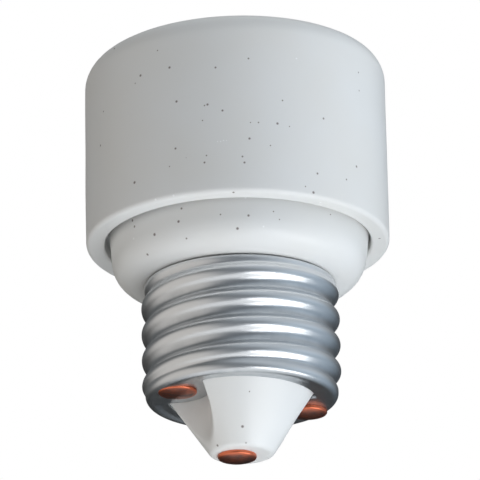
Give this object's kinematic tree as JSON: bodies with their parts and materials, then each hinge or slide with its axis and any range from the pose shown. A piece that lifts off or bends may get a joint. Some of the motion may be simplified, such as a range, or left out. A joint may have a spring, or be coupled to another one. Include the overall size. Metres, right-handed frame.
{
  "type": "lamp socket adapter",
  "caption": "White porcelain lamp socket adapter with a rolled metal screw base, copper rivets and nose contact, and a threaded socket with a sprung centre contact.",
  "frame": {"origin": "on the axis, in the plane of the base insulator's underside, where the base's screw shell begins", "axes": "+Z along the axis towards the mouth, X along the line of the two shell rivets"},
  "size_m": [0.0404, 0.0404, 0.056],
  "materials": {
    "glazed_porcelain": "glossy white glaze with small dark specks",
    "shell_sheet": "rolled sheet, satin",
    "copper": "bare copper, slightly tarnished",
    "contact_brass": "turned brass",
    "spring_steel": "drawn wire"
  },
  "bodies": {
    "adapter": {"socket_cup": "glazed_porcelain", "base_insulator": "glazed_porcelain", "base_screw_shell": "shell_sheet", "socket_screw_shell": "shell_sheet", "shell_rivets": "copper", "centre_rivet": "copper", "contact_washer": "contact_brass", "contact_spring": "spring_steel"},
    "contact": {"contact_button": "contact_brass"}
  },
  "joints": [
    {"name": "contact_press", "type": "slide", "parent": "adapter", "child": "contact", "axis": [0, 0, 1], "range_m": [-0.002, 0], "stiffness_N_per_m": 1500, "springref_m": 0.002, "deforming": ["contact_spring"]}
  ]
}
